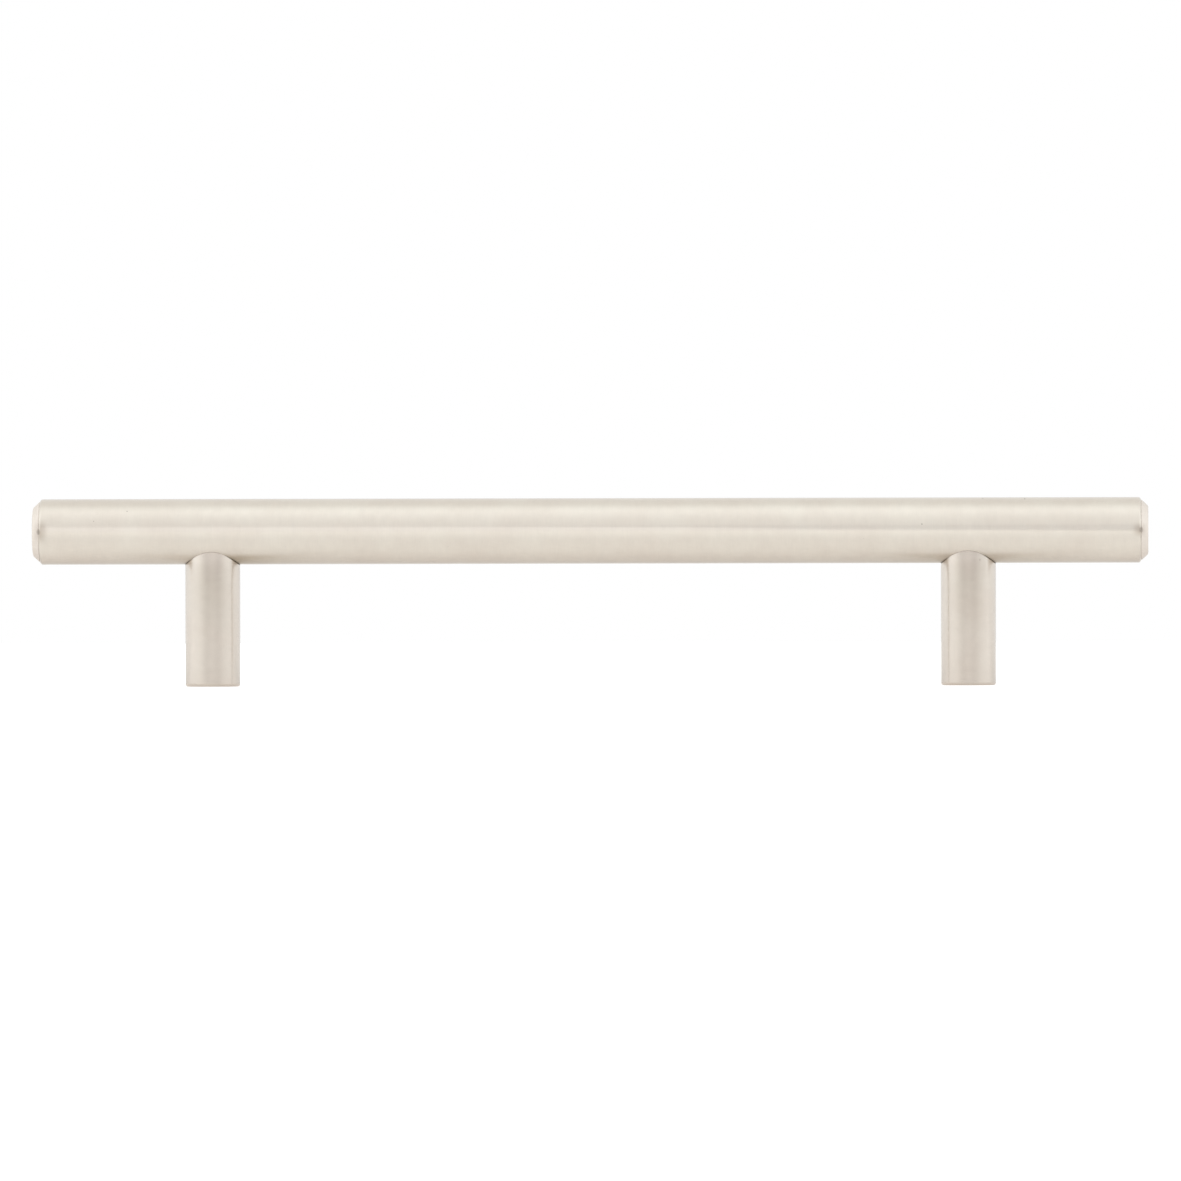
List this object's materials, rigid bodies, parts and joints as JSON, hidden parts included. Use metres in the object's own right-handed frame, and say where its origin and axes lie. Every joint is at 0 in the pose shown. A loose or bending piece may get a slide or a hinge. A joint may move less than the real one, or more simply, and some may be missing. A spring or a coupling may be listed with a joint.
{
  "type": "t bar cabinet pull",
  "caption": "Straight round tube with chamfered end plugs, carried on two saddle-cut posts that are tapped from below for machine screws.",
  "frame": {"origin": "on the mounting plane, midway between the two screw holes", "axes": "+X along the bar towards the right end, +Z from the door's face to the bar, +Y away from the picture's camera"},
  "size_m": [0.1888, 0.011, 0.0318],
  "materials": {
    "bar_satin_nickel": "satin nickel plate, brushed round the tube",
    "cap_satin_nickel": "satin nickel plate, turned",
    "post_satin_nickel": "satin nickel plate, brushed round the post",
    "zinc_plate": "bright zinc plate"
  },
  "bodies": {
    "root": {"bar_tube": "bar_satin_nickel", "end_cap_left": "cap_satin_nickel", "end_cap_right": "cap_satin_nickel", "post_left": "post_satin_nickel", "post_right": "post_satin_nickel", "stud_left": "zinc_plate", "stud_right": "zinc_plate", "tube_nut_left": "zinc_plate", "tube_nut_right": "zinc_plate"}
  },
  "joints": []
}
